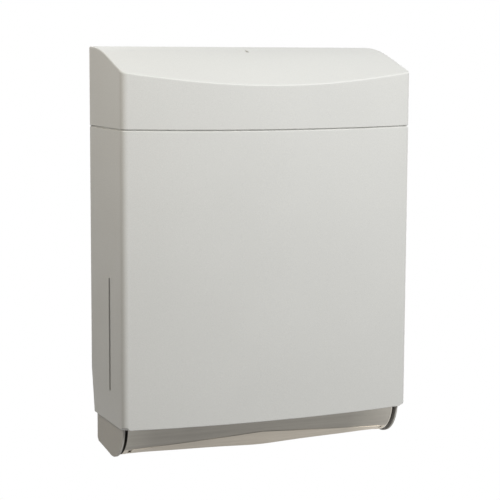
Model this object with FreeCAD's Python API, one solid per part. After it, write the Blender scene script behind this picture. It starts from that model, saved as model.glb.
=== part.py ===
import FreeCAD, Part
import math
import os

# Surface-mounted dispenser for folded paper towels: a light grey moulded cover with a
# bowed front and a sloping top cap, hinged at its foot, over a moulded base plate that
# carries a stainless steel towel tray between two cheeks.
#
# Frame, in millimetres: X to the right as a user faces the dispenser, Y into the wall,
# Z up. The wall is the plane Y = 0 and the front faces -Y. The origin is the middle of
# the four wall screw holes. A "height" or "depth" below is counted from the cover's
# lower edge or from the wall.

Vector = FreeCAD.Vector

# ---- cover: main cover and top cap ---------------------------------------------------
overall_width = 305.0
side_depth = 100.0            # wall to the front corner
front_bow = 12.5              # the middle of the front stands this far before its corners
cover_height = 365.0          # lower edge of the cover to the top of the cap
origin_height = 190.0         # wall screw centre above the cover's lower edge
cover_wall = 3.0
wall_gap = 0.5                # between the cover's rear edge and the wall
corner_radius = 7.0
corner_foot_radius = 3.0      # round at the foot of each front corner
lower_edge_radius = 0.6
top_edge_radius = 1.8
joint_edge_radius = 0.7       # rounds along the joint of cover and cap
end_crown_radius = 169.0      # round of the top where it meets a side
end_slope = 17.8              # degrees
middle_crown_radius = 157.0   # round of the top at mid-width
middle_slope = 25.0           # degrees
split_height = 287.0          # joint of cover and cap
split_dip = 1.5               # the joint line sags this much at mid-width
split_gap = 1.2
tongue_height = 8.0           # rim of the cover that stands up inside the cap
tongue_inset = 1.6            # outer face of the cover to the rim
tongue_clearance = 0.2
joint_stop_depth = 2.0        # block that closes the joint's rear end
joint_stop_inset = 0.5
rear_relief_height = 45.0     # slanting relief of the side walls at the lower rear
rear_relief_depth = 8.5
sight_slot_width = 4.5
sight_slot_length = 112.0
sight_slot_depth = 60.0
sight_slot_height = 31.0
key_slot_width = 3.0
key_slot_length = 9.0
key_slot_depth = 36.0
cover_rib_spacing = 150.0
cover_rib_thickness = 1.6
cover_rib_depth = 3.0
cover_rib_foot = 60.0
cover_rib_head = 268.0

# ---- screws ----------------------------------------------------------------------------
screw_radius = 1.7
screw_clearance = 0.1
screw_head_radius = 3.2
screw_head_height = 1.8
screw_recess_radius = 1.2
screw_recess_depth = 1.1
screw_end_gap = 0.3           # between a screw's tip and the bottom of its hole
cut_margin = 1.0              # how far a cutting tool runs past a face

# ---- bosses and lugs that hold cap and cover together ----------------------------------
cap_boss_radius = 4.5
cap_boss_length = 30.0
cap_boss_inset = 7.5          # from the cover's inner face to the boss axis
cap_boss_side_depth = 30.0
cap_boss_front_x = 90.0       # from mid-width, on the front wall
cap_boss_web = 3.0
cap_lug_thickness = 3.0
cap_lug_margin = 1.5
cap_lug_drop = 2.5            # seat of the boss below the joint line
cap_screw_bite = 12.0

# ---- pivot of the cover ----------------------------------------------------------------
pivot_depth = 54.0
pivot_height = 1.0
open_angle = 90.0             # full swing of the cover, degrees
pin_radius = 2.5
pin_head_radius = 4.5
pin_head_height = 1.8
pin_seat_depth = 1.1
pin_end_gap = 0.1
pin_seat_clearance = 0.02
running_clearance = 0.05
bush_wall = 1.1
bush_clearance = 0.02
arm_thickness = 2.0
arm_width = 16.0
arm_lean = 12.2               # degrees to the rear, clear of the sight slots
arm_corner_radius = 3.0
arm_side_gap = 0.7
arm_screw_first = 63.0        # from the pivot
arm_screw_pitch = 18.0
arm_end_margin = 9.0
arm_boss_radius = 4.5
arm_screw_skin = 1.5          # left outside the tips of the arm screws
stop_radius = 3.0
stop_reach = 20.0             # from the pivot to the stop, along the open arm
stop_gap = 0.5

# ---- cheeks ----------------------------------------------------------------------------
cheek_thickness = 1.8
cheek_gap = 0.5               # between the cheek and the cover's side wall
cheek_radius = 36.2
cheek_top = 40.0
cheek_rear_gap = 7.0          # from the wall
cheek_rear_lift = 5.2         # the lower edge rises this much towards the wall
cheek_rear_chamfer = 3.0
cheek_screw_depth = 11.0
cheek_screw_height = 32.0
cheek_boss_radius = 4.0

# ---- base plate ------------------------------------------------------------------------
base_side_gap = 2.2           # between the base plate's side and the cheek
base_thickness = 3.0
base_top = 350.0
base_drop = 30.0              # below the cover's lower edge
base_flange_depth = 22.0
base_flange_thickness = 3.0
base_rib_spacing = 50.0
base_rib_count = 4
base_rib_thickness = 2.0
base_rib_depth = 2.0
base_rib_foot = 30.0
base_rib_head = 300.0
screw_spacing_x = 200.0
screw_spacing_z = 200.0
wall_hole_radius = 3.0
wall_hole_ring_radius = 9.0
wall_hole_ring_height = 1.5
base_screw_skin = 1.2         # left between a screw's tip and the wall

# ---- towel tray ------------------------------------------------------------------------
sheet = 1.0
tray_radius = 34.5            # outside of the rolled front
tray_front_height = 38.0
tray_hem_width = 6.0
tray_rear_height = 28.0       # rear flange above the underside of the floor
tray_boss_height = 4.0
tray_boss_radius = 4.0
tray_screw_spacing = 100.0
tray_screw_height = 20.0      # above the underside of the floor
end_wall_top = 22.0
end_wall_gap = 2.0            # to the foot of the base plate's flanges
tray_side_screw_depth = 24.0
tray_side_screw_heights = (-20.0, 12.0)
tray_side_boss_radius = 3.5
opening_end_inset = 25.8      # from the tray's end to the end of the opening
opening_rear_depth = 24.0
opening_overlap = 8.0         # the opening reaches this far past the end of the floor
opening_corner_radius = 12.0
lip_end_inset = 7.8           # from the tray's end to the lip's end
lip_notch = 2.9
lip_notch_angle = 82.0        # where the notches end, degrees below level
lip_angle_middle = 34.0       # where the lip leaves the rolled front, degrees below level
lip_angle_end = 50.2
lip_length_middle = 18.3
lip_length_end = 6.5
lip_overlap = 0.8             # the lip starts this far above the end of the rolled front
lip_step = 0.4                # and stands this far in front of it
lip_thickness = 0.8
lip_hem_width = 3.0
lip_hem_thickness = 1.9

# ---- strike, latch lever and bump pads -------------------------------------------------
strike_sheet = 1.5
strike_width = 28.0
strike_top = 353.0
strike_foot = 318.0
strike_depth = 29.0           # from the wall to the front of the strike's lip
strike_lip_height = 10.5
strike_bend_radius = 1.3
strike_pad_thickness = 3.0
strike_pad_margin = 4.0
strike_screw_height = 328.0
strike_screw_spacing = 14.0
latch_pivot_depth = 60.0
latch_pivot_height = 338.5
latch_pin_radius = 1.5
latch_pin_head_radius = 2.5
latch_pin_head_height = 0.8
latch_width = 13.0
latch_thickness = 4.0
latch_hub_radius = 4.0
latch_nose_length = 5.2
latch_nose_height = 7.0
latch_nose_tip = 1.2
latch_nose_back = 1.5
latch_gap = 0.3               # between the nose and the strike's lip
latch_side_gap = 0.5
latch_tail_reach = 7.0        # tail that rests on the bracket's floor
latch_tail_width = 4.5
latch_tail_gap = 0.15
bracket_sheet = 1.5
bracket_foot_width = 13.5
bracket_length = 18.0
bracket_floor_length = 26.0
bracket_height = 18.5
bracket_hub_gap = 2.0
bracket_screw_x = 16.0
bracket_boss_radius = 4.0
bracket_screw_bite = 7.0
spring_radius = 3.5
spring_wire_radius = 0.4
spring_wire_sides = 12        # the round wire is built with this many flats
spring_turns = 4.0
spring_gap = 0.05
spring_stud_radius = 2.4
spring_stud_height = 2.0
spring_depth = 48.0
pad_radius = 6.0
pad_thickness = 6.0
pad_inset = 20.0              # from the base plate's side
pad_height = 325.0
pad_gap = 0.3
stop_rib_width = 8.0
stop_rib_depth = 10.0
stop_rib_length = 14.0

# ---- places worked out from the sizes above --------------------------------------------
half_width = overall_width / 2
inner_half_width = half_width - cover_wall
front_y = -(side_depth + front_bow)
bow_radius = (half_width ** 2 + front_bow ** 2) / (2 * front_bow)
bow_centre_y = front_y + bow_radius
edge_z = -origin_height
top_z = edge_z + cover_height
split_z = edge_z + split_height
cap_seat_z = split_z - cap_lug_drop
lug_bottom_z = cap_seat_z - cap_lug_thickness
pivot_y = -pivot_depth
pivot_z = edge_z + pivot_height
floor_z = pivot_z - tray_radius
cheek_outer_x = inner_half_width - cheek_gap
cheek_inner_x = cheek_outer_x - cheek_thickness
cheek_screw_z = edge_z + cheek_screw_height
arm_outer_x = cheek_inner_x - arm_side_gap
arm_inner_x = arm_outer_x - arm_thickness
arm_length = arm_screw_first + arm_screw_pitch + arm_end_margin
tray_half_width = arm_inner_x - arm_side_gap
tray_inner_x = tray_half_width - sheet
lip_half_width = tray_half_width - lip_end_inset
opening_half_width = tray_half_width - opening_end_inset
tray_rear_y = -(base_thickness + tray_boss_height)
tray_screw_z = floor_z + tray_screw_height
end_wall_top_z = edge_z + end_wall_top
base_half_width = cheek_inner_x - base_side_gap
pad_x = base_half_width - pad_inset
bush_radius = pin_radius + running_clearance + bush_wall
hole_radius = screw_radius + screw_clearance
strike_face_y = -(base_thickness + strike_pad_thickness)
strike_top_z = edge_z + strike_top
latch_pivot_y = -latch_pivot_depth
latch_pivot_z = edge_z + latch_pivot_height
latch_top_z = latch_pivot_z + latch_thickness / 2
latch_bottom_z = latch_pivot_z - latch_thickness / 2
bracket_inner_x = latch_width / 2 + latch_side_gap
bracket_outer_x = bracket_inner_x + bracket_sheet
bracket_front_y = latch_pivot_y - bracket_length / 2
bracket_top_z = latch_pivot_z + latch_hub_radius + bracket_hub_gap
bracket_floor_z = bracket_top_z - bracket_height + bracket_sheet


# ---- small helpers ---------------------------------------------------------------------
def box(x0, x1, y0, y1, z0, z1):
    """Box between two corners, given in any order."""
    low = Vector(min(x0, x1), min(y0, y1), min(z0, z1))
    return Part.makeBox(abs(x1 - x0), abs(y1 - y0), abs(z1 - z0), low)


def rod(radius, start, end):
    """Round bar from one point to another."""
    a = Vector(*start)
    b = Vector(*end)
    return Part.makeCylinder(radius, (b - a).Length, a, b - a)


def polygon_edges(points):
    """Straight edges through points, closed."""
    closed = points + points[:1]
    return [Part.LineSegment(a, b).toShape() for a, b in zip(closed, closed[1:])]


def side_prism(edges, x0, x1):
    """Prism along X from a closed outline in the Y-Z plane."""
    face = Part.Face(Part.Wire(edges))
    face.translate(Vector(min(x0, x1), 0, 0))
    return face.extrude(Vector(abs(x1 - x0), 0, 0))


def side_outline(points):
    """Closed outline of straight edges from (y, z) pairs."""
    return polygon_edges([Vector(0, y, z) for y, z in points])


def joined(shapes):
    """One solid from shapes that meet."""
    result = shapes[0]
    for shape in shapes[1:]:
        result = result.fuse(shape)
    return result.removeSplitter()


def without(shape, tools):
    """The shape with every tool cut out of it."""
    for tool in tools:
        shape = shape.cut(tool)
    return shape


def mirrored(shape):
    """The same piece on the other side of mid-width."""
    return shape.mirror(Vector(0, 0, 0), Vector(1, 0, 0))


def both_sides(shapes):
    """The shapes and their mirror images."""
    return shapes + [mirrored(shape) for shape in shapes]


def rounded(solid, radius, chosen):
    """The solid with every chosen edge rounded."""
    return solid.makeFillet(radius, [edge for edge in solid.Edges if chosen(edge)])


def direction_of(screw):
    """Unit vector from a screw's seat to its tip."""
    seat, tip = screw
    return (Vector(*tip) - Vector(*seat)).normalize()


def pan_screw(screw):
    """Pan-head screw from the point under its head to its tip."""
    seat, tip = screw
    inward = direction_of(screw)
    top = Vector(*seat) - inward * screw_head_height
    head = Part.makeCylinder(screw_head_radius, screw_head_height, top, inward)
    recess = Part.makeCylinder(screw_recess_radius, screw_recess_depth, top, inward)
    return joined([head, rod(screw_radius, seat, tip)]).cut(recess)


def flush_screw(screw):
    """Countersunk screw from the middle of its flush head to its tip."""
    seat, tip = screw
    inward = direction_of(screw)
    top = Vector(*seat)
    head = Part.makeCone(screw_head_radius, screw_radius, screw_head_height, top, inward)
    recess = Part.makeCylinder(screw_recess_radius, screw_recess_depth, top, inward)
    return joined([head, rod(screw_radius, seat, tip)]).cut(recess)


def screw_hole(screw):
    """Hole that clears a screw's shank from outside its seat to just past its tip."""
    seat, tip = screw
    inward = direction_of(screw)
    return rod(hole_radius, Vector(*seat) - inward * cut_margin,
               Vector(*tip) + inward * screw_end_gap)


def countersink(screw):
    """Conical seat for a flush screw."""
    inward = direction_of(screw)
    return Part.makeCone(screw_head_radius + screw_clearance, hole_radius,
                         screw_head_height, Vector(*screw[0]), inward)


def export(name, shapes):
    """Write one node: a single solid or a group of separate solids."""
    solids = [solid for shape in shapes for solid in shape.Solids]
    shape = solids[0] if len(solids) == 1 else Part.makeCompound(solids)
    shape.exportStep("parts/" + name + ".step")


# ---- where the right-hand screws go: seat under the head, then tip ---------------------
def bow_y(x, inset):
    """Y of the cover's front at a distance x from mid-width, moved in by inset."""
    return bow_centre_y - math.sqrt((bow_radius - inset) ** 2 - x ** 2)


def arm_point(along, ahead=0.0, opening=0.0):
    """Y and Z of a point on a hinge arm: along it, and ahead of its centre line."""
    turn = math.radians(opening - arm_lean)
    y = pivot_y - along * math.sin(turn) - ahead * math.cos(turn)
    z = pivot_z + along * math.cos(turn) - ahead * math.sin(turn)
    return y, z


cap_boss_places = [
    (inner_half_width - cap_boss_inset, -cap_boss_side_depth),
    (cap_boss_front_x, bow_y(cap_boss_front_x, cover_wall) + cap_boss_inset),
]
arm_screw_places = [arm_point(arm_screw_first), arm_point(arm_screw_first + arm_screw_pitch)]
tray_side_zs = [edge_z + height for height in tray_side_screw_heights]
cap_screws = [((x, y, lug_bottom_z), (x, y, cap_seat_z + cap_screw_bite))
              for x, y in cap_boss_places]
arm_screws = [((arm_inner_x, y, z), (half_width - arm_screw_skin, y, z))
              for y, z in arm_screw_places]
cheek_screws = [((cheek_outer_x, -cheek_screw_depth, cheek_screw_z),
                 (base_half_width - base_flange_thickness, -cheek_screw_depth, cheek_screw_z))]
tray_side_screws = [((tray_inner_x, -tray_side_screw_depth, z),
                     (cheek_outer_x - sheet, -tray_side_screw_depth, z))
                    for z in tray_side_zs]
tray_rear_screws = [((x, tray_rear_y - sheet, tray_screw_z), (x, -base_screw_skin, tray_screw_z))
                    for x in (-tray_screw_spacing, 0.0, tray_screw_spacing)]
strike_screws = [((x, strike_face_y - strike_sheet, edge_z + strike_screw_height),
                  (x, -base_screw_skin, edge_z + strike_screw_height))
                 for x in (-strike_screw_spacing / 2, strike_screw_spacing / 2)]
latch_screws = [((bracket_screw_x, latch_pivot_y, bracket_top_z - bracket_sheet),
                 (bracket_screw_x, latch_pivot_y, bracket_top_z + bracket_screw_bite))]


# ---- shape of the cover ----------------------------------------------------------------
def plan_prism(inset, rear_y, z0, z1):
    """Upright prism of the cover's plan: straight back and sides, bowed front."""
    half = half_width - inset
    corner_y = bow_y(half, inset)
    rear_left = Vector(-half, rear_y, z0)
    rear_right = Vector(half, rear_y, z0)
    front_left = Vector(-half, corner_y, z0)
    front_right = Vector(half, corner_y, z0)
    middle = Vector(0, bow_y(0.0, inset), z0)
    edges = [
        Part.LineSegment(rear_right, rear_left).toShape(),
        Part.LineSegment(rear_left, front_left).toShape(),
        Part.Arc(front_left, middle, front_right).toShape(),
        Part.LineSegment(front_right, rear_right).toShape(),
    ]
    solid = Part.Face(Part.Wire(edges)).extrude(Vector(0, 0, z1 - z0))
    return rounded(solid, max(corner_radius - inset, 1.0),
                   lambda edge: edge.BoundBox.XLength < 0.01
                   and edge.BoundBox.YLength < 0.01
                   and edge.BoundBox.YMax < corner_y + 1.0)


def crown_at(x):
    """Crown radius and slope of the top at a distance x from mid-width."""
    share = 1.0 - min(abs(x) / half_width, 1.0) ** 2
    radius = end_crown_radius + (middle_crown_radius - end_crown_radius) * share
    slope = math.radians(end_slope + (middle_slope - end_slope) * share)
    return radius, slope


def above_top(drop):
    """Everything above the cap's top surface, lowered by drop."""
    level = top_z - drop
    high_z = top_z + 10 * cut_margin
    front = front_y - 10 * cut_margin
    rear = 10 * cut_margin
    sections = []
    for step in range(-3, 4):
        x = step * (half_width + 4 * cut_margin) / 3
        radius, slope = crown_at(x)
        centre = Vector(x, 0, level - radius)
        start = Vector(x, 0, level)
        halfway = centre + Vector(0, -math.sin(slope / 2), math.cos(slope / 2)) * radius
        end = centre + Vector(0, -math.sin(slope), math.cos(slope)) * radius
        low = Vector(x, front, end.z + (front - end.y) * math.tan(slope))
        high = Vector(x, front, high_z)
        rear_high = Vector(x, rear, high_z)
        rear_low = Vector(x, rear, level)
        sections.append(Part.Wire([
            Part.LineSegment(rear_low, start).toShape(),
            Part.Arc(start, halfway, end).toShape(),
            Part.LineSegment(end, low).toShape(),
            Part.LineSegment(low, high).toShape(),
            Part.LineSegment(high, rear_high).toShape(),
            Part.LineSegment(rear_high, rear_low).toShape(),
        ]))
    return Part.makeLoft(sections, True, False)


def split_block(offset, far_z):
    """Space between the joint line of cover and cap, moved by offset, and a far level."""
    reach = half_width + 5 * cut_margin
    rear = 10 * cut_margin
    middle_z = split_z + offset - split_dip
    end_z = middle_z + split_dip * (reach / half_width) ** 2
    left = Vector(-reach, rear, end_z)
    right = Vector(reach, rear, end_z)
    middle = Vector(0, rear, middle_z)
    far_left = Vector(-reach, rear, far_z)
    far_right = Vector(reach, rear, far_z)
    face = Part.Face(Part.Wire([
        Part.Arc(left, middle, right).toShape(),
        Part.LineSegment(right, far_right).toShape(),
        Part.LineSegment(far_right, far_left).toShape(),
        Part.LineSegment(far_left, left).toShape(),
    ]))
    return face.extrude(Vector(0, front_y - 2 * rear, 0))


def on_lower_edge(edge):
    """True for the outline of the cover's lower face, apart from its open back."""
    bounds = edge.BoundBox
    return abs(bounds.ZMax - edge_z) < 0.01 and bounds.YMin < -wall_gap - 0.01


def on_top_edge(edge):
    """True for the edges where the cap's top meets its sides, front and back."""
    bounds = edge.BoundBox
    side = bounds.XLength < 0.01 and abs(abs(bounds.XMin) - half_width) < 0.01
    front = bounds.XLength > 1.0 and bounds.YMax < corner_radius + 1.0 - side_depth
    back = bounds.XLength > half_width and bounds.YMin > -wall_gap - 0.01
    outline = bounds.YLength > 0.01 and (side or front)
    return bounds.ZMin > split_z and (outline or back)


def on_joint_edge(edge):
    """True for the outline of the cover or cap at their joint, apart from its open back."""
    bounds = edge.BoundBox
    level = bounds.ZMin > split_z - split_dip - split_gap and bounds.ZMax < split_z + split_gap
    return level and bounds.YMin < -wall_gap - 0.01


def corner_trim():
    """What the round at the foot of the right front corner takes away."""
    axis = Vector(half_width - corner_radius, bow_y(half_width, 0.0) + corner_radius, edge_z)
    outward = Vector(1, -1, 0).normalize()
    across = Vector(1, 1, 0).normalize()
    up = Vector(0, 0, 1)
    centre = axis + outward * (corner_radius - corner_foot_radius) + up * corner_foot_radius
    low = centre - up * corner_foot_radius
    halfway = centre + (outward - up).normalize() * corner_foot_radius
    high = centre + outward * corner_foot_radius
    far_high = high + outward * corner_radius
    far_low = far_high - up * 2 * corner_foot_radius
    near_low = low - up * corner_foot_radius
    face = Part.Face(Part.Wire([
        Part.Arc(low, halfway, high).toShape(),
        Part.LineSegment(high, far_high).toShape(),
        Part.LineSegment(far_high, far_low).toShape(),
        Part.LineSegment(far_low, near_low).toShape(),
        Part.LineSegment(near_low, low).toShape(),
    ]))
    face.translate(across * -3 * corner_radius)
    return face.extrude(across * 6 * corner_radius)


outer_body = plan_prism(0.0, -wall_gap, edge_z, top_z + 5 * cut_margin)
outer_body = rounded(outer_body, lower_edge_radius, on_lower_edge)
outer_body = rounded(outer_body.cut(above_top(0.0)), top_edge_radius, on_top_edge)
outer_body = without(outer_body, both_sides([corner_trim()]))
inner_body = plan_prism(cover_wall, 10 * cut_margin, edge_z - cut_margin, top_z)
inner_body = inner_body.cut(above_top(cover_wall))


def walls_from(offset, far_z):
    """Walls of the cover's body from the joint line, moved by offset, to a far level."""
    body = outer_body.common(split_block(offset, far_z))
    return rounded(body, joint_edge_radius, on_joint_edge).cut(inner_body)


def wall_link(x, y, z0, z1, thickness):
    """Web from a boss axis straight to the side wall, or to the front wall."""
    half = thickness / 2
    if x + cap_boss_inset > inner_half_width - 0.01:
        return box(x, half_width, y - half, y + half, z0, z1)
    return box(x - half, x + half, y, front_y, z0, z1)


def make_cover_shell():
    """Main cover: open at the back and below, with a rim that enters the cap."""
    shell = walls_from(-split_gap / 2, edge_z - cut_margin)
    rim_z0 = split_z - split_dip - 2 * split_gap
    rim = plan_prism(tongue_inset, -wall_gap, rim_z0, split_z + tongue_height)
    joint_stop = box(half_width - tongue_inset - cut_margin, half_width - joint_stop_inset,
                     -wall_gap - joint_stop_depth, -wall_gap,
                     rim_z0, split_z + split_gap / 2 - tongue_clearance)
    pieces = [shell, rim.cut(inner_body)] + both_sides([joint_stop])
    lug_half = cap_boss_radius + cap_lug_margin
    for x, y in cap_boss_places:
        lug = box(x - lug_half, x + lug_half, y - lug_half, y + lug_half,
                  lug_bottom_z, cap_seat_z)
        link = wall_link(x, y, lug_bottom_z, cap_seat_z, 2 * lug_half)
        pieces += both_sides([lug.fuse(link).common(outer_body)])
    for y, z in arm_screw_places:
        pieces += both_sides([rod(arm_boss_radius, (arm_outer_x, y, z),
                                  (half_width - cover_wall / 2, y, z))])
    rib_x = cover_rib_spacing / 2
    rib = box(rib_x - cover_rib_thickness / 2, rib_x + cover_rib_thickness / 2,
              front_y, bow_y(rib_x, cover_wall) + cover_rib_depth,
              edge_z + cover_rib_foot, edge_z + cover_rib_head)
    pieces += both_sides([rib.common(outer_body)])

    relief_y = -wall_gap - rear_relief_depth
    relief = side_outline([
        (cut_margin, edge_z - cut_margin),
        (relief_y, edge_z - cut_margin),
        (relief_y, edge_z),
        (-wall_gap, edge_z + rear_relief_height),
        (cut_margin, edge_z + rear_relief_height),
    ])
    reach = half_width + cut_margin
    slot = box(inner_half_width - cut_margin, reach,
               -sight_slot_depth - sight_slot_width / 2,
               -sight_slot_depth + sight_slot_width / 2,
               edge_z + sight_slot_height, edge_z + sight_slot_height + sight_slot_length)
    slot = rounded(slot, sight_slot_width / 2 - 0.01, lambda edge: edge.BoundBox.XLength > 1.0)
    tools = [side_prism(relief, -reach, reach)] + both_sides([slot])
    tools += both_sides([screw_hole(screw) for screw in arm_screws + cap_screws])
    return without(joined(pieces), tools)


def make_top_cap():
    """Top cap: sloping top, key slot, screw bosses and stop ribs inside."""
    rebate = plan_prism(tongue_inset - tongue_clearance, 10 * cut_margin,
                        split_z - tongue_height, split_z + tongue_height + tongue_clearance)
    pieces = [walls_from(split_gap / 2, top_z + cut_margin).cut(rebate)]
    boss_top = cap_seat_z + cap_boss_length
    for x, y in cap_boss_places:
        boss = rod(cap_boss_radius, (x, y, cap_seat_z), (x, y, boss_top))
        web = wall_link(x, y, split_z + tongue_height + cut_margin, boss_top, cap_boss_web)
        pieces += both_sides([boss.fuse(web).common(outer_body)])
    bracket_boss = rod(bracket_boss_radius, (bracket_screw_x, latch_pivot_y, bracket_top_z),
                       (bracket_screw_x, latch_pivot_y, top_z))
    rib_rear = -base_thickness - pad_thickness - pad_gap
    stop_rib = box(pad_x - stop_rib_width / 2, pad_x + stop_rib_width / 2,
                   rib_rear - stop_rib_depth, rib_rear,
                   edge_z + pad_height - stop_rib_length / 2, top_z)
    pieces += both_sides([bracket_boss.common(outer_body), stop_rib.common(outer_body)])
    key_slot = box(-key_slot_width / 2, key_slot_width / 2,
                   -key_slot_depth - key_slot_length / 2, -key_slot_depth + key_slot_length / 2,
                   bracket_top_z, top_z + cut_margin)
    tools = [key_slot] + both_sides([screw_hole(screw) for screw in cap_screws + latch_screws])
    return without(joined(pieces), tools)


# ---- hinge arms, bushes and pins, right-hand side --------------------------------------
def make_hinge_arm():
    """Flat steel arm: eye at the pivot, two screw holes at the leaning top."""
    top = pivot_z + arm_length
    bar = box(arm_inner_x, arm_outer_x, pivot_y - arm_width / 2, pivot_y + arm_width / 2,
              pivot_z, top)
    bar = rounded(bar, arm_corner_radius,
                  lambda edge: edge.BoundBox.YLength < 0.01
                  and edge.BoundBox.ZMin > top - 0.01)
    bar.rotate(Vector(0, pivot_y, pivot_z), Vector(1, 0, 0), -arm_lean)
    eye = rod(arm_width / 2, (arm_inner_x, pivot_y, pivot_z), (arm_outer_x, pivot_y, pivot_z))
    bore = rod(bush_radius + bush_clearance, (arm_inner_x - cut_margin, pivot_y, pivot_z),
               (arm_outer_x + cut_margin, pivot_y, pivot_z))
    return without(joined([bar, eye]), [bore] + [screw_hole(screw) for screw in arm_screws])


def make_hinge_bush():
    """Plain bush in the eye of the arm."""
    sleeve = rod(bush_radius, (arm_inner_x, pivot_y, pivot_z), (arm_outer_x, pivot_y, pivot_z))
    bore = rod(pin_radius + running_clearance, (arm_inner_x - cut_margin, pivot_y, pivot_z),
               (arm_outer_x + cut_margin, pivot_y, pivot_z))
    return sleeve.cut(bore)


def make_hinge_pin():
    """Headed pin: through the tray's end wall and the arm, into the cheek."""
    shaft = rod(pin_radius, (tray_inner_x - pin_head_height, pivot_y, pivot_z),
                (cheek_inner_x + pin_seat_depth - pin_end_gap, pivot_y, pivot_z))
    head = rod(pin_head_radius, (tray_inner_x - pin_head_height, pivot_y, pivot_z),
               (tray_inner_x, pivot_y, pivot_z))
    return joined([shaft, head])


# ---- cheek, right-hand side --------------------------------------------------------------
def make_cheek():
    """Rounded plate under the cover's side, with bosses and the cover's stop inside."""
    low_z = pivot_z - cheek_radius
    rear_y = -cheek_rear_gap
    plate = side_prism(side_outline([
        (rear_y, edge_z + cheek_top),
        (pivot_y, edge_z + cheek_top),
        (pivot_y, low_z),
        (rear_y - cheek_rear_chamfer, low_z + cheek_rear_lift),
        (rear_y, low_z + cheek_rear_lift + cheek_rear_chamfer),
    ]), cheek_inner_x, cheek_outer_x)
    disc = rod(cheek_radius, (cheek_inner_x, pivot_y, pivot_z), (cheek_outer_x, pivot_y, pivot_z))
    root_x = cheek_outer_x - cheek_thickness / 2
    stop_y, stop_z = arm_point(stop_reach, arm_width / 2 + stop_gap + stop_radius, open_angle)
    pieces = [plate, disc,
              rod(stop_radius, (arm_inner_x, stop_y, stop_z), (root_x, stop_y, stop_z)),
              rod(cheek_boss_radius, (base_half_width, -cheek_screw_depth, cheek_screw_z),
                  (root_x, -cheek_screw_depth, cheek_screw_z))]
    for z in tray_side_zs:
        pieces.append(rod(tray_side_boss_radius, (tray_half_width, -tray_side_screw_depth, z),
                          (root_x, -tray_side_screw_depth, z)))
    tools = [rod(pin_radius + pin_seat_clearance, (cheek_inner_x - cut_margin, pivot_y, pivot_z),
                 (cheek_inner_x + pin_seat_depth, pivot_y, pivot_z))]
    tools += [screw_hole(screw) for screw in cheek_screws + tray_side_screws]
    tools += [countersink(screw) for screw in cheek_screws]
    return without(joined(pieces), tools)


# ---- base plate ------------------------------------------------------------------------
def make_base_plate():
    """Moulded base plate with side flanges, ribs, bosses and wall screw holes."""
    top = edge_z + base_top
    root_y = -base_thickness / 2
    pieces = [box(-base_half_width, base_half_width, -base_thickness, 0,
                  edge_z - base_drop, top)]
    pieces += both_sides([box(base_half_width - base_flange_thickness, base_half_width,
                              -base_flange_depth, root_y,
                              end_wall_top_z + end_wall_gap, top)])
    for step in range(base_rib_count):
        x = (step - (base_rib_count - 1) / 2) * base_rib_spacing
        pieces.append(box(x - base_rib_thickness / 2, x + base_rib_thickness / 2,
                          -base_thickness - base_rib_depth, root_y,
                          edge_z + base_rib_foot, edge_z + base_rib_head))
    ring_y = -base_thickness - wall_hole_ring_height
    wall_holes = []
    for x in (-screw_spacing_x / 2, screw_spacing_x / 2):
        for z in (-screw_spacing_z / 2, screw_spacing_z / 2):
            pieces.append(rod(wall_hole_ring_radius, (x, ring_y, z), (x, root_y, z)))
            wall_holes.append(rod(wall_hole_radius, (x, ring_y - cut_margin, z),
                                  (x, cut_margin, z)))
    for seat, tip in tray_rear_screws:
        pieces.append(rod(tray_boss_radius, (seat[0], tray_rear_y, seat[2]),
                          (seat[0], root_y, seat[2])))
    pad_half = strike_width / 2 + strike_pad_margin
    pieces.append(box(-pad_half, pad_half, strike_face_y, root_y,
                      edge_z + strike_foot - strike_pad_margin, top))
    tools = wall_holes + [screw_hole(screw) for screw in tray_rear_screws + strike_screws]
    tools += both_sides([screw_hole(screw) for screw in cheek_screws])
    return without(joined(pieces), tools)


# ---- towel tray ------------------------------------------------------------------------
def tray_point(radius, angle):
    """Point of the rolled front at an angle below level, in degrees."""
    turn = math.radians(angle)
    return Vector(0, pivot_y - radius * math.cos(turn), pivot_z - radius * math.sin(turn))


def lip_angle(x):
    """Where the lip leaves the rolled front at a distance x from mid-width."""
    share = abs(x / lip_half_width)
    return lip_angle_middle + (lip_angle_end - lip_angle_middle) * share


def lip_length(x):
    """Length of the lip at a distance x from mid-width."""
    share = abs(x / lip_half_width)
    return lip_length_middle + (lip_length_end - lip_length_middle) * share


def loft_along_x(half, outline_at):
    """Solid through outlines at nine places from -half to half."""
    sections = []
    for step in range(-4, 5):
        x = half * step / 4
        wire = Part.Wire(polygon_edges(outline_at(x)))
        wire.translate(Vector(x, 0, 0))
        sections.append(wire)
    return Part.makeLoft(sections, True, False)


def lip_outline(x):
    """Section of the lip: straight on from the rolled front, with a hem at its edge."""
    turn = math.radians(lip_angle(x))
    along = Vector(0, math.sin(turn), -math.cos(turn))
    inward = Vector(0, math.cos(turn), math.sin(turn))
    root = tray_point(tray_radius + lip_step, lip_angle(x)) - along * lip_overlap
    edge = root + along * lip_length(x)
    hem = edge - along * lip_hem_width
    return [root, edge, edge + inward * lip_hem_thickness, hem + inward * lip_hem_thickness,
            hem + inward * lip_thickness, root + inward * lip_thickness]


def lip_gap_outline(x):
    """Section of the space cleared in the rolled front for the lip and its end notches."""
    near = tray_radius - 5 * sheet
    far = tray_radius + 5 * sheet
    middle = (lip_angle(x) + lip_notch_angle) / 2
    return [tray_point(near, lip_angle(x)), tray_point(far, lip_angle(x)),
            tray_point(far + 5 * sheet, middle), tray_point(far, lip_notch_angle),
            tray_point(near, lip_notch_angle)]


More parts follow.
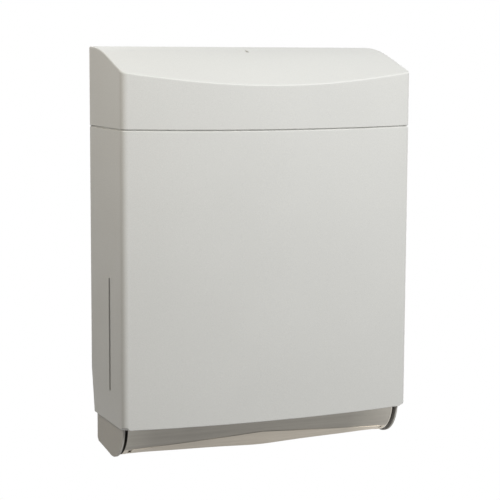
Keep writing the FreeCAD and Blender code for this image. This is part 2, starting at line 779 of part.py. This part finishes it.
def tray_edges(inset):
    """Tray section from its rear flange over the floor to the front, moved in by inset."""
    rear = tray_rear_y - inset
    floor = floor_z + inset
    front = pivot_y - tray_radius + inset
    corners = [Vector(0, rear, floor_z + tray_rear_height), Vector(0, rear, floor),
               Vector(0, pivot_y, floor), Vector(0, front, pivot_z),
               Vector(0, front, edge_z + tray_front_height)]
    roll = Part.Arc(corners[2], tray_point(tray_radius - inset, 45.0), corners[3])
    return corners, [
        Part.LineSegment(corners[0], corners[1]).toShape(),
        Part.LineSegment(corners[1], corners[2]).toShape(),
        roll.toShape(),
        Part.LineSegment(corners[3], corners[4]).toShape(),
    ]


def make_towel_tray():
    """Stainless tray: rear flange, floor with the opening, rolled front, lip and end walls."""
    outer_corners, outer = tray_edges(0.0)
    inner_corners, inner = tray_edges(sheet)
    front_close = Part.LineSegment(outer_corners[4], inner_corners[4]).toShape()
    rear_close = Part.LineSegment(inner_corners[0], outer_corners[0]).toShape()
    bent = side_prism(outer + [front_close] + inner[::-1] + [rear_close],
                      -tray_half_width, tray_half_width)
    across = Part.LineSegment(outer_corners[4], outer_corners[0]).toShape()
    section = side_prism(outer + [across], tray_inner_x, tray_half_width)
    end_wall = section.common(box(tray_inner_x, tray_half_width, front_y, tray_rear_y,
                                  floor_z, end_wall_top_z))
    front_top = edge_z + tray_front_height
    hem_y = inner_corners[4].y
    hem = box(-tray_half_width, tray_half_width, hem_y - sheet / 2, hem_y + sheet,
              front_top - tray_hem_width, front_top)
    rear_hem = box(-opening_half_width, opening_half_width, -opening_rear_depth,
                   -opening_rear_depth + lip_hem_width, floor_z, floor_z + 2 * sheet)
    opening = box(-opening_half_width, opening_half_width, pivot_y - opening_overlap,
                  -opening_rear_depth, floor_z - cut_margin, floor_z + 2 * sheet + cut_margin)
    opening = rounded(opening, opening_corner_radius,
                      lambda edge: edge.BoundBox.ZLength > sheet
                      and edge.BoundBox.YMin > -opening_rear_depth - 0.01)
    pin_hole = rod(pin_radius + pin_seat_clearance, (tray_inner_x - cut_margin, pivot_y, pivot_z),
                   (tray_half_width + cut_margin, pivot_y, pivot_z))
    tools = [opening, loft_along_x(lip_half_width + lip_notch, lip_gap_outline)]
    tools += both_sides([pin_hole] + [screw_hole(screw) for screw in tray_side_screws])
    tools += [screw_hole(screw) for screw in tray_rear_screws]
    body = without(joined([bent, hem, rear_hem] + both_sides([end_wall])), tools)
    return joined([body, loft_along_x(lip_half_width, lip_outline)])


# ---- strike and latch ------------------------------------------------------------------
def make_strike():
    """Bent strike on the base plate: upright leg, shelf and a lip that points down."""
    half = strike_width / 2
    lip_y = -strike_depth
    leg = box(-half, half, strike_face_y - strike_sheet, strike_face_y,
              edge_z + strike_foot, strike_top_z)
    shelf = box(-half, half, lip_y, strike_face_y, strike_top_z - strike_sheet, strike_top_z)
    lip = box(-half, half, lip_y, lip_y + strike_sheet,
              strike_top_z - strike_lip_height, strike_top_z)
    strike = rounded(joined([leg, shelf, lip]), strike_bend_radius,
                     lambda edge: edge.BoundBox.XLength > 1.0
                     and edge.BoundBox.ZMin > strike_top_z - 0.01)
    return without(strike, [screw_hole(screw) for screw in strike_screws])


def make_latch_bracket():
    """Hat-shaped bracket under the cap that carries the latch pin and the spring."""
    rear = bracket_front_y + bracket_length
    under = bracket_floor_z - bracket_sheet
    ear = box(bracket_inner_x, bracket_outer_x, bracket_front_y, rear, under, bracket_top_z)
    foot = box(bracket_inner_x, bracket_inner_x + bracket_foot_width, bracket_front_y, rear,
               bracket_top_z - bracket_sheet, bracket_top_z)
    web = box(-bracket_outer_x, bracket_outer_x, bracket_front_y,
              bracket_front_y + bracket_floor_length, under, bracket_floor_z)
    stud = rod(spring_stud_radius, (0, -spring_depth, under),
               (0, -spring_depth, bracket_floor_z + spring_stud_height))
    reach = bracket_outer_x + cut_margin
    pin_hole = rod(latch_pin_radius + pin_seat_clearance, (-reach, latch_pivot_y, latch_pivot_z),
                   (reach, latch_pivot_y, latch_pivot_z))
    tools = [pin_hole] + both_sides([screw_hole(screw) for screw in latch_screws])
    return without(joined([web, stud] + both_sides([ear, foot])), tools)


def make_latch_pin():
    """Riveted pin across the bracket's ears."""
    end = bracket_outer_x + latch_pin_head_height
    head = rod(latch_pin_head_radius, (bracket_outer_x, latch_pivot_y, latch_pivot_z),
               (end, latch_pivot_y, latch_pivot_z))
    shaft = rod(latch_pin_radius, (-end, latch_pivot_y, latch_pivot_z),
                (end, latch_pivot_y, latch_pivot_z))
    return joined([shaft] + both_sides([head]))


def make_latch_lever():
    """Lever whose nose stands behind the strike's lip; a key presses its top."""
    half = latch_width / 2
    nose_front = -strike_depth + strike_sheet + latch_gap
    nose_rear = nose_front + latch_nose_length
    nose_top = latch_top_z + latch_nose_height
    body = side_prism(side_outline([
        (latch_pivot_y, latch_bottom_z),
        (nose_rear, latch_bottom_z),
        (nose_rear, latch_top_z + latch_nose_back),
        (nose_front + latch_nose_tip, nose_top),
        (nose_front, nose_top),
        (nose_front, latch_top_z),
        (latch_pivot_y, latch_top_z),
    ]), -half, half)
    tail_front = latch_pivot_y - latch_tail_reach
    tail = box(-half, half, tail_front, tail_front + latch_tail_width,
               bracket_floor_z + latch_tail_gap, latch_pivot_z)
    hub = rod(latch_hub_radius, (-half, latch_pivot_y, latch_pivot_z),
              (half, latch_pivot_y, latch_pivot_z))
    bore = rod(latch_pin_radius + running_clearance,
               (-half - cut_margin, latch_pivot_y, latch_pivot_z),
               (half + cut_margin, latch_pivot_y, latch_pivot_z))
    return joined([body, tail, hub]).cut(bore)


def make_latch_spring():
    """Compression coil between the bracket's floor and the lever."""
    low = bracket_floor_z + spring_wire_radius
    rise = latch_bottom_z - spring_gap - spring_wire_radius - low
    mean_radius = spring_radius - spring_wire_radius
    path = Part.Wire(Part.makeHelix(rise / spring_turns, rise, mean_radius))
    corners = []
    for side in range(spring_wire_sides):
        turn = 2 * math.pi * (side + 0.5) / spring_wire_sides
        corners.append(Vector(mean_radius + spring_wire_radius * math.cos(turn), 0,
                              spring_wire_radius * math.sin(turn)))
    coil = path.makePipeShell([Part.Wire(polygon_edges(corners))], True, True)
    coil.translate(Vector(0, -spring_depth, low))
    return coil


def make_bump_pad():
    """Right-hand rubber pad on the base plate that a stop rib of the cap closes against."""
    z = edge_z + pad_height
    return rod(pad_radius, (pad_x, -base_thickness, z),
               (pad_x, -base_thickness - pad_thickness, z))


# ---- write the nodes -------------------------------------------------------------------
os.makedirs("parts", exist_ok=True)
cheek = make_cheek()
hinge_arm = make_hinge_arm()
hinge_bush = make_hinge_bush()
hinge_pin = make_hinge_pin()
nodes = {
    "base_plate": [make_base_plate()],
    "side_cheek_right": [cheek],
    "side_cheek_left": [mirrored(cheek)],
    "cheek_screws": both_sides([flush_screw(screw) for screw in cheek_screws]),
    "towel_tray": [make_towel_tray()],
    "tray_rear_screws": [pan_screw(screw) for screw in tray_rear_screws],
    "tray_side_screws": both_sides([pan_screw(screw) for screw in tray_side_screws]),
    "hinge_pin_right": [hinge_pin],
    "hinge_pin_left": [mirrored(hinge_pin)],
    "latch_strike": [make_strike()],
    "strike_screws": [pan_screw(screw) for screw in strike_screws],
    "bump_pads": both_sides([make_bump_pad()]),
    "cover_shell": [make_cover_shell()],
    "top_cap": [make_top_cap()],
    "cap_screws": both_sides([pan_screw(screw) for screw in cap_screws]),
    "hinge_arm_right": [hinge_arm],
    "hinge_arm_left": [mirrored(hinge_arm)],
    "hinge_bush_right": [hinge_bush],
    "hinge_bush_left": [mirrored(hinge_bush)],
    "arm_screws": both_sides([pan_screw(screw) for screw in arm_screws]),
    "latch_bracket": [make_latch_bracket()],
    "latch_screws": both_sides([pan_screw(screw) for screw in latch_screws]),
    "latch_pin": [make_latch_pin()],
    "latch_spring": [make_latch_spring()],
    "latch_lever": [make_latch_lever()],
}
for name, shapes in nodes.items():
    export(name, shapes)
    solid_count = sum(len(shape.Solids) for shape in shapes)
    volume = sum(shape.Volume for shape in shapes)
    print(f"{name}: {solid_count} solids, {volume:.1f} mm3")
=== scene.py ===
import math
from collections import namedtuple

import bpy
from mathutils import Matrix, Vector

# Looks of the towel dispenser: camera, studio and a procedural material for every CAD node.
# Metres, in the CAD frame: X to the right, Y into the wall, Z up.

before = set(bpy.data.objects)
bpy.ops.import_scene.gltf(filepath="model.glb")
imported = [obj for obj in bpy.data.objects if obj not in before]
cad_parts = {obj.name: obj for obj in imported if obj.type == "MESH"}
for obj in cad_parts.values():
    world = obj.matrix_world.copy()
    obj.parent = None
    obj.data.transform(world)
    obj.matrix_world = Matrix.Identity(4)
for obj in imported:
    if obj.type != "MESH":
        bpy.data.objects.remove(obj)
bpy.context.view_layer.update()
scene = bpy.context.scene


# ---- camera ------------------------------------------------------------------------------
IMAGE_WIDTH = 500                       # pixels
FOCAL_PIXELS = 1563.78
SENSOR_WIDTH = 36.0                     # millimetres
CAMERA_PLACE = Vector((-0.6101, -1.4908, 0.1697))
CAMERA_TURN = math.radians(22.9239)     # from +Y towards +X
CAMERA_PITCH = math.radians(7.2026)     # below level
CAMERA_ROLL = math.radians(0.2764)      # right side raised


def add_camera():
    """Camera at the viewing angle, level apart from its small roll."""
    ahead = Vector((math.sin(CAMERA_TURN) * math.cos(CAMERA_PITCH),
                    math.cos(CAMERA_TURN) * math.cos(CAMERA_PITCH),
                    -math.sin(CAMERA_PITCH)))
    level = Vector((math.cos(CAMERA_TURN), -math.sin(CAMERA_TURN), 0.0))
    over = level.cross(ahead)
    right = level * math.cos(CAMERA_ROLL) + over * math.sin(CAMERA_ROLL)
    up = over * math.cos(CAMERA_ROLL) - level * math.sin(CAMERA_ROLL)
    data = bpy.data.cameras.new("camera")
    data.sensor_width = SENSOR_WIDTH
    data.lens = SENSOR_WIDTH * FOCAL_PIXELS / IMAGE_WIDTH
    camera = bpy.data.objects.new("camera", data)
    scene.collection.objects.link(camera)
    axes = Matrix((right, up, -ahead)).transposed()
    camera.matrix_world = Matrix.Translation(CAMERA_PLACE) @ axes.to_4x4()
    scene.camera = camera


# ---- node trees --------------------------------------------------------------------------
NOISE_LOW, NOISE_HIGH = 0.3, 0.7        # most of a noise lies between these values
WHITE = (1.0, 1.0, 1.0, 1.0)

# A factor that goes from one value to another while a coordinate goes from start to end.
Band = namedtuple("Band", "start end before after")


class Shader:
    """Node tree of a material or world: nodes are added with their inputs given by name."""

    def __init__(self, owner, output):
        owner.use_nodes = True
        self.owner = owner
        self.tree = owner.node_tree
        self.tree.nodes.clear()
        self.output = self.node(output)

    def node(self, kind, inputs=None, **settings):
        """New node, whose inputs are linked to sockets or set to plain values."""
        made = self.tree.nodes.new("ShaderNode" + kind)
        for key, value in settings.items():
            setattr(made, key, value)
        for key, value in (inputs or {}).items():
            if isinstance(value, bpy.types.NodeSocket):
                self.tree.links.new(value, made.inputs[key])
            else:
                made.inputs[key].default_value = value
        return made

    def place(self):
        """Object coordinates in metres."""
        return self.node("TexCoord").outputs["Object"]

    def scaled_place(self, scales):
        """Object coordinates in metres, times a scale for each axis."""
        return self.node("Mapping", {"Vector": self.place(), "Scale": scales}).outputs["Vector"]

    def noise(self, scale, detail, roughness=0.5, stretch=(1.0, 1.0, 1.0)):
        """Noise around 0.5, with its scale multiplied along each axis by the stretch."""
        made = self.node("TexNoise", {"Vector": self.scaled_place(stretch), "Scale": scale,
                                      "Detail": detail, "Roughness": roughness})
        return made.outputs["Fac"]

    def combine(self, operation, *values):
        """Result of one operation on sockets or numbers."""
        return self.node("Math", dict(enumerate(values)), operation=operation).outputs["Value"]

    def spread(self, value, low, high, start=NOISE_LOW, end=NOISE_HIGH):
        """Value brought from start..end to low..high, and held there outside them."""
        made = self.node("MapRange", {"Value": value, "From Min": start, "From Max": end,
                                      "To Min": low, "To Max": high})
        return made.outputs["Result"]

    def banded(self, value, band):
        """Factor of a band at a coordinate's value."""
        return self.spread(value, band.before, band.after, start=band.start, end=band.end)

    def shaded(self, colour, factor):
        """Colour times a factor."""
        grey = self.node("CombineColor", {"Red": factor, "Green": factor, "Blue": factor})
        made = self.node("Mix", {"Factor": 1.0, "A": colour, "B": grey.outputs["Color"]},
                         data_type="RGBA", blend_type="MULTIPLY")
        return made.outputs["Result"]

    def tinted(self, colour, value, low, high):
        """Colour made darker and lighter by a noise value."""
        return self.shaded(colour, self.spread(value, low, high))

    def bump(self, height, distance, strength):
        """Normal of a surface that a height value raises by up to a distance."""
        inputs = {"Height": height, "Distance": distance, "Strength": strength}
        return self.node("Bump", inputs).outputs["Normal"]

    def mix_surfaces(self, share, first, second):
        """First surface where the share is 0, second one where it is 1."""
        return self.node("MixShader", {0: share, 1: first, 2: second}).outputs["Shader"]

    def finish(self, surface):
        """Link the surface to the output, and return the material or world."""
        self.tree.links.new(surface, self.output.inputs["Surface"])
        return self.owner


def material_shader(name):
    """Empty node tree of a new material."""
    return Shader(bpy.data.materials.new(name), "OutputMaterial")


def srgb(red, green, blue):
    """Scene-linear colour from 8-bit display values, by the sRGB curve."""
    def linear(value):
        value /= 255.0
        return value / 12.92 if value <= 0.04045 else ((value + 0.055) / 1.055) ** 2.4
    return (linear(red), linear(green), linear(blue), 1.0)


# ---- materials ---------------------------------------------------------------------------
# Scales are features to the metre. Tints are a colour's factors at a noise's lows and highs.
# Bumps are a height in metres and a strength.
PLASTIC_GRAIN_TINT = (0.93, 1.07)
PLASTIC_GRAIN_BUMP = (0.00006, 0.6)
PLASTIC_FLOW_SCALE = 14.0
PLASTIC_FLOW_TINT = (0.99, 1.01)
PLASTIC_ROUGHNESS_SWING = 0.05

STEEL_GRAIN_SCALES = (25.0, 2600.0, 2600.0)     # along X, Y and Z
STEEL_GRAIN_TINT = (0.93, 1.07)
STEEL_GRAIN_BUMP = (0.00002, 0.5)
STEEL_STREAK_SCALES = (6.0, 260.0, 260.0)
STEEL_STREAK_TINT = (0.95, 1.05)
STEEL_SMUDGE_SCALE = 18.0
STEEL_ROUGHNESS = (0.50, 0.60)

# Axis of the tray's rolled front, and the turn about it, down from level, at which the lip
# starts: in the middle of the tray, and at the lip's ends. Its painted reflection starts just
# above.
TRAY_AXIS_Y = -0.054
TRAY_AXIS_Z = -0.189
LIP_TURN_MIDDLE = math.radians(34.0)
LIP_TURN_END = math.radians(50.2)
LIP_HALF_WIDTH = 0.136
# Band where the darker sheet colour turns into the lip's lighter colour, a painted reflection.
LIP_PAINTED_REFLECTION = Band(start=-0.026, end=-0.020, before=0.0, after=1.0)      # radians past that turn

# Painted light and shade in the tray's colour: along X, a painted highlight and painted
# reflections, and by the distance from X = 0, painted shade on its two end faces.
TRAY_PAINTED_LIGHT = [
    # A painted highlight on the right end's edge, then painted reflections that lighten the
    # steel.
    Band(start=0.1427, end=0.1430, before=1.0, after=1.5),      # edge of the right end
    Band(start=-0.080, end=0.060, before=1.0, after=1.18),      # across the middle
    Band(start=0.095, end=0.142, before=1.0, after=1.45),       # towards the right end
    Band(start=-0.142, end=-0.115, before=1.2, after=1.0),      # at the left end
]
# Painted shade: the outer faces of the tray's end walls are darkened to a quarter.
TRAY_END_FACES_PAINTED_SHADE = Band(start=0.14355, end=0.14375, before=1.0, after=0.25)

PLATING_CRYSTAL_SCALE = 900.0
PLATING_CRYSTAL_TINT = (0.96, 1.03)
PLATING_HAZE_SCALE = 160.0
PLATING_HAZE_TINT = (0.94, 1.05)
PLATING_HAZE_BUMP = (0.00003, 0.4)
PLATING_LESS_ROUGH, PLATING_MORE_ROUGH = 0.06, 0.08

RUBBER_GRAIN_SCALE = 2400.0
RUBBER_GRAIN_BUMP = (0.00005, 0.7)
RUBBER_WEAR_SCALE = 120.0
RUBBER_WEAR_TINT = (0.8, 1.2)
RUBBER_ROUGHNESS = (0.68, 0.86)


def moulded_plastic(name, colour, grain_scale, roughness, shine=0.5):
    """Matte moulded plastic with a fine spark-eroded grain and faint flow mottling."""
    shader = material_shader(name)
    fine = shader.noise(grain_scale, detail=3.0, roughness=0.6)
    flow = shader.noise(PLASTIC_FLOW_SCALE, detail=4.0)
    speckled = shader.tinted(colour, fine, *PLASTIC_GRAIN_TINT)
    surface = shader.node("BsdfPrincipled", {
        "Base Color": shader.tinted(speckled, flow, *PLASTIC_FLOW_TINT),
        "Roughness": shader.spread(flow, roughness - PLASTIC_ROUGHNESS_SWING,
                                   roughness + PLASTIC_ROUGHNESS_SWING),
        "Specular IOR Level": shine,
        "Normal": shader.bump(fine, *PLASTIC_GRAIN_BUMP),
    })
    return shader.finish(surface.outputs["BSDF"])


def brushed_steel(name, painted_shaded_sheet_colour, painted_lit_lip_colour):
    """Stainless tray, brushed along X, with painted light and shade: its lip painted lighter as
    a painted reflection, its sheet painted darker, and its tone painted along X.
    """
    shader = material_shader(name)
    grain = shader.noise(scale=1.0, detail=4.0, roughness=0.7, stretch=STEEL_GRAIN_SCALES)
    streaks = shader.noise(scale=1.0, detail=2.0, stretch=STEEL_STREAK_SCALES)
    smudge = shader.noise(STEEL_SMUDGE_SCALE, detail=3.0)
    axes = shader.node("SeparateXYZ", {"Vector": shader.place()}).outputs
    side = shader.combine("ABSOLUTE", axes["X"])

    # Painted reflection: below this turn the lip gets the lighter colour, and above it the
    # sheet gets the darker colour, as painted shade.
    turn = shader.combine("ARCTAN2", shader.combine("SUBTRACT", TRAY_AXIS_Z, axes["Z"]),
                          shader.combine("SUBTRACT", TRAY_AXIS_Y, axes["Y"]))
    start = shader.spread(side, LIP_TURN_MIDDLE, LIP_TURN_END, start=0.0, end=LIP_HALF_WIDTH)
    on_lip = shader.banded(shader.combine("SUBTRACT", turn, start), LIP_PAINTED_REFLECTION)
    sheet = shader.node("Mix", {"Factor": on_lip, "A": painted_shaded_sheet_colour, "B": painted_lit_lip_colour},
                        data_type="RGBA").outputs["Result"]
    grained = shader.tinted(sheet, grain, *STEEL_GRAIN_TINT)
    brushed = shader.tinted(grained, streaks, *STEEL_STREAK_TINT)

    # Painted light and shade: the tray's colour times the painted shade of its end faces and
    # the painted highlight and reflections along X.
    painted_light_and_shade = shader.banded(side, TRAY_END_FACES_PAINTED_SHADE)
    for band in TRAY_PAINTED_LIGHT:
        painted_light_and_shade = shader.combine("MULTIPLY", painted_light_and_shade, shader.banded(axes["X"], band))
    surface = shader.node("BsdfPrincipled", {
        "Base Color": shader.shaded(brushed, painted_light_and_shade),
        "Metallic": 1.0,
        "Roughness": shader.spread(smudge, *STEEL_ROUGHNESS),
        "Normal": shader.bump(grain, *STEEL_GRAIN_BUMP),
    })
    return shader.finish(surface.outputs["BSDF"])


def plated_steel(name, colour, roughness):
    """Zinc-plated or blued steel: small crystals and a slight haze."""
    shader = material_shader(name)
    cells = shader.node("TexVoronoi", {"Vector": shader.place(),
                                       "Scale": PLATING_CRYSTAL_SCALE})
    haze = shader.noise(PLATING_HAZE_SCALE, detail=3.0)
    crystal = shader.node("SeparateColor", {"Color": cells.outputs["Color"]}).outputs["Red"]
    crystalline = shader.tinted(colour, crystal, *PLATING_CRYSTAL_TINT)
    surface = shader.node("BsdfPrincipled", {
        "Base Color": shader.tinted(crystalline, haze, *PLATING_HAZE_TINT),
        "Metallic": 1.0,
        "Roughness": shader.spread(haze, roughness - PLATING_LESS_ROUGH,
                                   roughness + PLATING_MORE_ROUGH),
        "Normal": shader.bump(haze, *PLATING_HAZE_BUMP),
    })
    return shader.finish(surface.outputs["BSDF"])


def rubber(name, colour):
    """Black moulded rubber with a fine dull grain."""
    shader = material_shader(name)
    fine = shader.noise(RUBBER_GRAIN_SCALE, detail=3.0)
    wear = shader.noise(RUBBER_WEAR_SCALE, detail=3.0)
    surface = shader.node("BsdfPrincipled", {
        "Base Color": shader.tinted(colour, wear, *RUBBER_WEAR_TINT),
        "Roughness": shader.spread(wear, *RUBBER_ROUGHNESS),
        "Normal": shader.bump(fine, *RUBBER_GRAIN_BUMP),
    })
    return shader.finish(surface.outputs["BSDF"])


# ---- studio ------------------------------------------------------------------------------
WORLD_LIGHT = (1.0, 0.975, 0.93, 1.0)
WORLD_STRENGTH = 0.11

FLOOR_LEVEL = -1.20
FLOOR_RADIUS = 6.0
FLOOR_SIDES = 96
FLOOR_GREY = (0.86, 0.86, 0.86, 1.0)
FLOOR_MOTTLE_SCALE = 9.0
FLOOR_MOTTLE_TINT = (0.985, 1.0)
FLOOR_FADE = Band(start=0.8, end=2.4, before=0.0, after=1.0)        # from its centre
FLOOR_LEAST_WHITE = 0.45                # share of plain white right under the object

Lamp = namedtuple("Lamp", "place target width height watts colour")
DISPENSER = (0.0, -0.06, 0.0)
NEUTRAL = (1.0, 1.0, 1.0)
LAMPS = {
    "key": Lamp(place=(0.55, -1.35, 0.95), target=DISPENSER,
                width=0.7, height=0.7, watts=23.5, colour=NEUTRAL),
    "overhead": Lamp(place=(0.0, -0.30, 1.20), target=DISPENSER,
                     width=1.2, height=1.2, watts=2.2, colour=(0.84, 0.93, 1.0)),
    "left_fill": Lamp(place=(-0.75, -0.20, 0.50), target=(-0.15, -0.06, 0.05),
                      width=0.35, height=0.35, watts=2.05, colour=(1.0, 0.92, 0.80)),
    "rear_fill": Lamp(place=(0.0, 1.30, 0.45), target=DISPENSER,
                      width=0.28, height=1.0, watts=7.0, colour=NEUTRAL),
}


def seen_directly(shader):
    """1 for camera, glossy and transmission rays, and 0 for the light that falls on things."""
    path = shader.node("LightPath").outputs
    glossy = shader.combine("MAXIMUM", path["Is Camera Ray"], path["Is Glossy Ray"])
    return shader.combine("MAXIMUM", glossy, path["Is Transmission Ray"])


def set_world():
    """White where it is seen, plain soft light where it falls on the object."""
    world = bpy.data.worlds.new("studio")
    scene.world = world
    shader = Shader(world, "OutputWorld")
    light = shader.node("Background", {"Color": WORLD_LIGHT, "Strength": WORLD_STRENGTH})
    white = shader.node("Background", {"Color": WHITE, "Strength": 1.0})
    shader.finish(shader.mix_surfaces(seen_directly(shader), light.outputs["Background"],
                                      white.outputs["Background"]))


def add_floor():
    """Round pale floor that keeps the shadow near the object and fades to white further out."""
    bpy.ops.mesh.primitive_circle_add(vertices=FLOOR_SIDES, radius=FLOOR_RADIUS,
                                      fill_type="NGON", location=(0.0, 0.0, FLOOR_LEVEL))
    floor = bpy.context.object
    floor.name = "floor"
    shader = material_shader("pale_floor")
    distance = shader.node("VectorMath", {0: shader.place()}, operation="LENGTH")
    far = shader.banded(distance.outputs["Value"], FLOOR_FADE)
    mottle = shader.noise(FLOOR_MOTTLE_SCALE, detail=3.0)
    lit = shader.node("BsdfDiffuse", {"Color": shader.tinted(FLOOR_GREY, mottle,
                                                             *FLOOR_MOTTLE_TINT)})
    glow = shader.node("Emission", {"Color": WHITE, "Strength": 1.0})
    share = shader.combine("MULTIPLY", seen_directly(shader),
                           shader.combine("MAXIMUM", far, FLOOR_LEAST_WHITE))
    surface = shader.mix_surfaces(share, lit.outputs["BSDF"], glow.outputs["Emission"])
    floor.data.materials.append(shader.finish(surface))


def add_lamps():
    """Rectangular area lamps, each turned to face its target."""
    for name, lamp in LAMPS.items():
        data = bpy.data.lights.new(name, "AREA")
        data.shape = "RECTANGLE"
        data.size = lamp.width
        data.size_y = lamp.height
        data.energy = lamp.watts
        data.color = lamp.colour
        light = bpy.data.objects.new(name, data)
        scene.collection.objects.link(light)
        light.location = lamp.place
        aim = Vector(lamp.target) - Vector(lamp.place)
        light.rotation_euler = aim.to_track_quat("-Z", "Y").to_euler()


# ---- finishes of the CAD nodes -----------------------------------------------------------
COVER_PLASTIC = moulded_plastic("light_grey_abs", srgb(221, 221, 217),
                                grain_scale=1900.0, roughness=0.52)
BASE_PLASTIC = moulded_plastic("grey_abs", srgb(212, 209, 202),
                               grain_scale=1700.0, roughness=0.6, shine=0.25)
NYLON = moulded_plastic("white_nylon", srgb(226, 222, 210),
                        grain_scale=900.0, roughness=0.42)
# The tray's two colours are one steel painted lit and shaded: the sheet darker as painted
# shade, the lip lighter as a painted reflection.
STAINLESS = brushed_steel("stainless", painted_shaded_sheet_colour=(0.31, 0.295, 0.265, 1.0),
                          painted_lit_lip_colour=(0.50, 0.46, 0.40, 1.0))
ZINC = plated_steel("zinc_steel", (0.60, 0.61, 0.62, 1.0), roughness=0.34)
SPRING_STEEL = plated_steel("spring_steel", (0.34, 0.34, 0.35, 1.0), roughness=0.3)
RUBBER = rubber("black_rubber", (0.022, 0.022, 0.023, 1.0))

FINISHES = {
    COVER_PLASTIC: ["cover_shell", "top_cap"],
    BASE_PLASTIC: ["base_plate", "side_cheek_left", "side_cheek_right"],
    NYLON: ["hinge_bush_left", "hinge_bush_right", "latch_lever"],
    STAINLESS: ["towel_tray"],
    ZINC: ["hinge_arm_left", "hinge_arm_right", "hinge_pin_left", "hinge_pin_right",
           "latch_strike", "latch_bracket", "latch_pin", "cheek_screws", "tray_rear_screws",
           "tray_side_screws", "arm_screws", "cap_screws", "strike_screws", "latch_screws"],
    SPRING_STEEL: ["latch_spring"],
    RUBBER: ["bump_pads"],
}


def dress_nodes():
    """Give each CAD node its material."""
    for material, names in FINISHES.items():
        for name in names:
            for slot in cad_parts[name].material_slots:
                slot.material = material


dress_nodes()
add_camera()
set_world()
add_floor()
add_lamps()
scene.view_settings.view_transform = "Standard"
